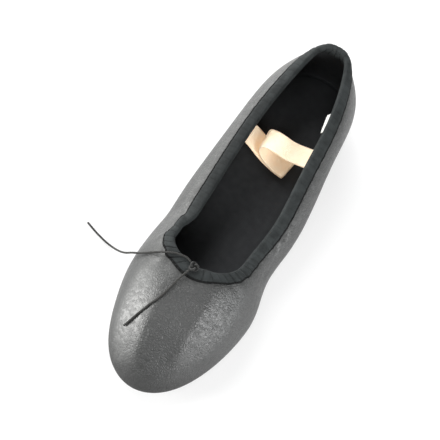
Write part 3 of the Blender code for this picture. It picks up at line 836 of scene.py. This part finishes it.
def tape_section():
    """Section of the folded tape: depth below the collar, distance out, and how freely it puckers."""
    face = GAP + TAPE_THICKNESS
    back = -WALL - GAP
    outer = np.linspace(0, TAPE_OUTSIDE - 0.3, TAPE_OUTSIDE_ROWS)
    puff = TAPE_PUFF * np.sin(np.pi * outer / TAPE_OUTSIDE) ** 0.8
    sewn = SEWN_DIP * np.exp(-(((outer - (TAPE_OUTSIDE - SEWN_PLACE)) / SEWN_WIDTH) ** 2))
    rows = [(depth, face + rise - dip, 1.0) for depth, rise, dip in zip(outer, puff, sewn)]
    rows += [(TAPE_OUTSIDE, face - 0.25, 1.0), (TAPE_OUTSIDE + 0.1, GAP + 0.2, 0.5)]
    rows += [(depth, GAP, 0.0) for depth in (TAPE_OUTSIDE - 0.2, 4.5, 2.2, 0.0)]
    rows += [(-GAP, 0.0, 0.0), (-GAP, -WALL, 0.0)]
    rows += [(depth, back, 0.0) for depth in (0.0, 3.0, 6.0, TAPE_INSIDE - 0.2)]
    rows += [(TAPE_INSIDE + 0.1, back - 0.3, 0.3), (TAPE_INSIDE - 0.1, back - TAPE_THICKNESS, 0.6)]
    for depth in np.linspace(TAPE_INSIDE - 0.8, 0.0, TAPE_INSIDE_ROWS):
        rows.append((depth, back - TAPE_THICKNESS - INNER_PUFF * np.sin(np.pi * depth / TAPE_INSIDE), 0.8))
    half = (face - back + TAPE_THICKNESS) / 2
    centre = (face + back - TAPE_THICKNESS) / 2
    for angle in np.linspace(np.pi, 0, TAPE_RIM_ROWS)[1:-1]:
        rows.append((-RIM_RISE * np.sin(angle), centre + half * np.cos(angle), 0.7))
    return np.array(rows).T


def make_binding(tape):
    """Tape folded over the collar, puckered where the drawstring gathers it, with painted shade in the
    puckers' troughs and in listed patches.
    """
    ring = Ring(TAPE_STATIONS, MIDDLE)
    depths, distances, freedom = tape_section()
    gather = gather_depth(ring.stations)[:, None]
    waves = puckers(ring, TAPE_WAVES, depths)
    outer = np.clip(depths / TAPE_OUTSIDE, 0, 1)
    crease = np.exp(-((waves / PUCKER_CREASE) ** 2))
    evenness = PUCKER_EVENNESS + (1 - PUCKER_EVENNESS) * np.sin(np.pi * outer)
    dip = -gather * (crease + PUCKER_SWELL * (1 - waves)) * freedom * evenness
    # Painted shade: darker tone in the troughs of the puckers and in the patches, kept on the mesh for the
    # tape's material
    shade = PUCKER_SHADE * gather * crease * freedom
    for patch in SHADES:
        share = np.exp(-((ring.stations - patch.station) / patch.spread) ** 2)[:, None]
        shade += share * (patch.rim + (patch.edge - patch.rim) * outer)
    for fold in FOLDS:
        line = fold.rim_station + (fold.edge_station - fold.rim_station) * outer
        gap = ring.stations[:, None] - line[None]
        dip -= fold.depth * freedom[None] * np.exp(-((gap / fold.width) ** 2))
    drift = EDGE_DRIFT * gather * puckers(ring, DRIFT_WAVES) * outer ** 2 * (freedom > 0)
    points, normals = ring.below_collar(depths[None] + drift)
    tape_grid = points + normals * (distances[None] + dip)[..., None]
    mesh = grid_mesh("collar_tape", tape_grid, closed_round=True, closed_across=True)
    store(mesh, "shade", np.clip(shade, 0, DARKEST_SHADE))
    add_piece("collar_tape", mesh, "collar_binding", [tape])


def sole_sheet(name, inset, lift):
    """Ribs across the foot inside the feather line, at a height over the bottom's curve."""
    ring = Ring(SOLE_STATIONS, MIDDLE)
    outline = ring.feather - ring.outward * inset
    half = SOLE_STATIONS // 2
    shares = np.linspace(0, 1, RIB_STEPS + 1)[:, None]
    shape = bmesh.new()

    def add(points):
        placed = np.array(points)
        placed[..., 2] = base_height(ring.along(placed)) + lift
        return [shape.verts.new(p) for p in placed * MM]

    heel, toe = add([outline[0], outline[half]])
    ribs = []
    for k in range(1, half):
        far, near = outline[SOLE_STATIONS - k], outline[k]
        ribs.append(add(far + (near - far) * shares))
    for before, after in zip(ribs, ribs[1:]):
        for j in range(RIB_STEPS):
            shape.faces.new((before[j], after[j], after[j + 1], before[j + 1]))
    for j in range(RIB_STEPS):
        shape.faces.new((heel, ribs[0][j], ribs[0][j + 1]))
        shape.faces.new((toe, ribs[-1][j + 1], ribs[-1][j]))
    mesh = bpy.data.meshes.new(name)
    shape.to_mesh(mesh)
    shape.free()
    mesh.shade_smooth()
    return mesh


def thicken(piece, thickness, bevel):
    """Give a sheet its thickness inward, and round its edges."""
    shell = piece.modifiers.new("thickness", "SOLIDIFY")
    shell.thickness = thickness * MM
    shell.offset = -1
    shell.use_even_offset = True
    edge = piece.modifiers.new("edge", "BEVEL")
    edge.width = bevel * MM
    edge.segments = 3
    edge.limit_method = "ANGLE"
    edge.angle_limit = np.radians(SOLE_EDGE_ANGLE)


def make_soles(lining, sole_leather):
    """Insole on the lasted margin, and outsole under it."""
    sheet = sole_sheet("insole_board", INSOLE_INSET, WALL + GAP + INSOLE_THICKNESS)
    insole = add_piece("insole_board", sheet, "insole", [lining])
    thicken(insole, INSOLE_THICKNESS, INSOLE_EDGE_BEVEL)
    sheet = sole_sheet("outsole_leather", SOLE_INSET, -GAP)
    outsole = add_piece("outsole_leather", sheet, "outsole", [sole_leather])
    thicken(outsole, OUTSOLE_THICKNESS, SOLE_EDGE_BEVEL)


def heel_outline(ring, inset, breast, height):
    """Heel block's outline at one height: round behind, with a straight breast across the front."""
    outline = ring.feather - ring.outward * inset
    along = ring.along(outline)
    half = ring.count // 2
    order = np.roll(np.arange(ring.count), half)
    back = [outline[i] for i in order if along[i] < breast]
    reach = np.interp(breast, along[:half], outline[:half, 0])
    ends = [np.array([side * reach, -breast - ring.middle, 0.0]) for side in (-1, 1)]
    points = np.array([ends[0]] + back + [ends[1]])
    points[:, 2] = height
    return points


def make_heel(material):
    """Block under the heel seat, a little smaller where it meets the floor."""
    ring = Ring(SOLE_STATIONS, MIDDLE)
    top = heel_outline(ring, HEEL_TOP_INSET, HEEL_BLOCK_LENGTH, HEEL_HEIGHT - GAP)
    bottom = heel_outline(ring, HEEL_BOTTOM_INSET, HEEL_BLOCK_LENGTH - HEEL_BREAST_RAKE, 0.0)
    places = np.linspace(0, len(bottom) - 1, len(top))
    matched = np.stack([np.interp(places, np.arange(len(bottom)), column) for column in bottom.T], axis=1)
    shape = bmesh.new()
    upper_edge = [shape.verts.new(p) for p in top * MM]
    lower_edge = [shape.verts.new(p) for p in matched * MM]
    shape.faces.new(upper_edge)
    shape.faces.new(lower_edge)
    for k in range(len(top)):
        after = (k + 1) % len(top)
        shape.faces.new((upper_edge[k], upper_edge[after], lower_edge[after], lower_edge[k]))
    bmesh.ops.recalc_face_normals(shape, faces=shape.faces)
    mesh = bpy.data.meshes.new("heel_block")
    shape.to_mesh(mesh)
    shape.free()
    mesh.shade_smooth()
    block = add_piece("heel_block", mesh, "heel", [material])
    edge = block.modifiers.new("edge", "BEVEL")
    edge.width = HEEL_EDGE_BEVEL * MM
    edge.segments = 4
    edge.limit_method = "ANGLE"
    edge.angle_limit = np.radians(HEEL_EDGE_ANGLE)
    edge.harden_normals = True


def make_ribbon(name, bends, width, thickness, stands_for, material):
    """Flat band whose middle line follows the bends, with rounded edges."""
    across, along, height, turn, lift = soften([bend[1:] for bend in bends], RIBBON_ROUNDS).T
    turn = np.radians(turn)
    middle = np.stack([across, -along - MIDDLE, height], axis=1)
    side = unit(np.stack([np.sin(turn), np.cos(turn), lift], axis=1))
    face = unit(np.cross(side, np.gradient(middle, axis=0)))
    reach = width / 2
    around = []
    for share in np.linspace(-1, 1, RIBBON_STEPS + 1):
        fullness = 1 - RIBBON_EDGE_LOSS * abs(share) ** RIBBON_EDGE_POWER
        around.append((share * reach, thickness / 2 * fullness))
    around += [(share, -out) for share, out in around[::-1]]
    section = np.array(around)
    grid = middle[:, None] + side[:, None] * section[None, :, :1] + face[:, None] * section[None, :, 1:]
    mesh = grid_mesh(name, grid, closed_across=True, capped=True)
    add_piece(name, mesh, stands_for, [material])


def frames_along(points, closed=False):
    """Two directions across a line at each of its points, carried along without twisting."""
    loop_ahead = np.roll(points, -1, axis=0) - np.roll(points, 1, axis=0)
    ahead = unit(loop_ahead if closed else np.gradient(points, axis=0))
    first = np.zeros_like(points)
    first[0] = unit(np.cross(ahead[0], UPWARD))
    for k in range(1, len(points)):
        carried = first[k - 1] - ahead[k] * (first[k - 1] @ ahead[k])
        first[k] = unit(carried)
    return first, np.cross(ahead, first)


def cord_tube(name, points, diameter, closed=False):
    """Twisted cord of three plies along a line of points."""
    first, second = frames_along(points, closed)
    travelled = np.concatenate([[0.0], np.cumsum(np.linalg.norm(np.diff(points, axis=0), axis=1))])
    total = travelled[-1] + (np.linalg.norm(points[0] - points[-1]) if closed else 0.0)
    twists = max(1, round(total / PLY_PITCH)) / total
    angle = np.linspace(0, 2 * np.pi, CORD_SIDES, endpoint=False)
    phase = PLY_COUNT / 2 * (angle[None] - 2 * np.pi * twists * travelled[:, None])
    radius = diameter / 2 * (1 - 2 * PLY_RELIEF * (1 - np.abs(np.cos(phase))))
    grid = (
        points[:, None]
        + first[:, None] * (radius * np.cos(angle))[..., None]
        + second[:, None] * (radius * np.sin(angle))[..., None]
    )
    return grid_mesh(name, grid, closed_round=closed, closed_across=True, capped=not closed)


def make_drawstring(cotton, knot_shaded):
    """Knot at the throat, in a darker cloth that paints the shade among its turns, and the two ends that
    leave it, as free cord.
    """
    t = np.linspace(0, 2 * np.pi, KNOT_STEPS, endpoint=False)
    reach = KNOT_RADIUS + KNOT_LOBE * np.cos(3 * t)
    loop = np.stack([reach * np.cos(2 * t), reach * np.sin(2 * t), KNOT_RISE * np.sin(3 * t)], axis=1)
    tube = cord_tube("knot", loop + KNOT_PLACE, KNOT_CORD, closed=True)
    knot = add_piece("knot", tube, "drawstring_knot", [knot_shaded])
    for end in CORD_ENDS:
        length = np.linalg.norm(np.diff(end.route, axis=0), axis=1).sum()
        path = spline(end.route, round(length / CORD_STEP) + 1)
        from_tip = length * np.linspace(1, 0, len(path))
        path += np.clip(1 - from_tip / SETTLE_LENGTH, 0, 1)[:, None] * end.settle
        tube = cord_tube(end.name, path, CORD_DIAMETER)
        piece = add_piece(end.name, tube, "drawstring_" + end.name, [cotton])


def make_camera():
    """Camera at the photograph's angle, rolled as it was held."""
    data = bpy.data.cameras.new("camera")
    data.lens = CAMERA_LENS
    data.sensor_width = CAMERA_SENSOR
    data.clip_start = CAMERA_NEAR * MM
    camera = bpy.data.objects.new("camera", data)
    eye, aim = Vector(CAMERA_EYE) * MM, Vector(CAMERA_AIM) * MM
    level = (aim - eye).to_track_quat("-Z", "Y").to_matrix()
    turn = level @ Matrix.Rotation(np.radians(CAMERA_ROLL), 3, "Z")
    camera.matrix_world = Matrix.LocRotScale(eye, turn, None)
    bpy.context.scene.collection.objects.link(camera)
    bpy.context.scene.camera = camera


def make_lamps():
    """Soft boxes round the shoe, and a faint even light from the surroundings."""
    heart = Vector(SHOE_HEART) * MM
    for lamp in LAMPS:
        data = bpy.data.lights.new(lamp.name, "AREA")
        data.shape = "SQUARE"
        data.size = lamp.size * MM
        data.energy = lamp.radiance * np.pi * data.size ** 2
        data.color = lamp.colour
        light = bpy.data.objects.new(lamp.name, data)
        bearing, height = np.radians(lamp.bearing), np.radians(lamp.height)
        level = np.cos(height)
        way = Vector((np.sin(bearing) * level, -np.cos(bearing) * level, np.sin(height)))
        place = heart + way * LAMP_DISTANCE * MM
        light.matrix_world = Matrix.LocRotScale(place, (-way).to_track_quat("-Z", "Y"), None)
        bpy.context.scene.collection.objects.link(light)
    world = bpy.data.worlds.new("studio")
    world.use_nodes = True
    background = world.node_tree.nodes["Background"]
    background.inputs["Color"].default_value = (1.0, 1.0, 1.0, 1.0)
    background.inputs["Strength"].default_value = WORLD_LIGHT
    bpy.context.scene.world = world
    bpy.context.scene.view_settings.view_transform = "Standard"


def make_floor():
    """Plain white floor that glows a little, so that only the contact shadow shows."""
    material, _, _ = start_material(
        "floor_white",
        Base_Color=(FLOOR_TONE, FLOOR_TONE, FLOOR_TONE, 1.0),
        Roughness=0.9,
        Emission_Color=(1.0, 1.0, 1.0, 1.0),
        Emission_Strength=FLOOR_GLOW,
        Specular_IOR_Level=0.0,
    )
    shape = bmesh.new()
    bmesh.ops.create_grid(shape, x_segments=8, y_segments=8, size=FLOOR_REACH * MM)
    mesh = bpy.data.meshes.new("floor")
    shape.to_mesh(mesh)
    shape.free()
    mesh.materials.append(material)
    floor = bpy.data.objects.new("floor", mesh)
    bpy.context.scene.collection.objects.link(floor)


black_lining = woven(
    "black_lining",
    (0.015, 0.016, 0.018),
    (0.021, 0.023, 0.025),
    pitch=0.9,
    depth=0.03,
    roughness=0.85,
    coordinates="Object",
)
slate_tape = woven(
    "slate_tape",
    (0.0168, 0.0192, 0.0196),
    (0.028, 0.0319, 0.0325),
    pitch=0.9,
    depth=0.05,
    roughness=0.85,
    seam=SEAM,
    Specular_IOR_Level=0.2,
)
white_cloth = woven(
    "white_cloth", (0.74, 0.74, 0.72), (0.82, 0.82, 0.80), pitch=0.8, depth=0.04, roughness=0.80
)
waxed_cotton = woven(
    "waxed_cotton", (0.009, 0.009, 0.008), (0.017, 0.017, 0.015), pitch=0.5, depth=0.03, roughness=0.80
)
# Darker copy of the waxed cotton for the knot: painted shade among its tight turns
knot_cotton_shaded = woven(
    "knot_cotton_shaded", (0.006, 0.006, 0.006), (0.012, 0.012, 0.011), pitch=0.5, depth=0.03, roughness=0.75
)
buffed_sole = buffed(
    "buffed_sole", (0.013, 0.013, 0.013), (0.024, 0.023, 0.022), roughness=0.75, depth=0.05, size=0.3
)
heel_rubber = buffed(
    "heel_rubber", (0.012, 0.012, 0.012), (0.018, 0.018, 0.018), roughness=0.55, depth=0.02, size=0.5
)

make_camera()
make_drawstring(waxed_cotton, knot_cotton_shaded)
make_upper(pebbled_leather(), black_lining)
make_binding(slate_tape)
make_soles(black_lining, buffed_sole)
make_heel(heel_rubber)
make_ribbon(
    "elastic_band",
    STRAP_BENDS,
    STRAP_WIDTH,
    STRAP_THICKNESS,
    stands_for="elastic_strap",
    material=ribbed_elastic(),
)
make_ribbon(
    "white_label",
    LABEL_BENDS,
    LABEL_WIDTH,
    LABEL_THICKNESS,
    stands_for="inner_label",
    material=white_cloth,
)
make_floor()
make_lamps()
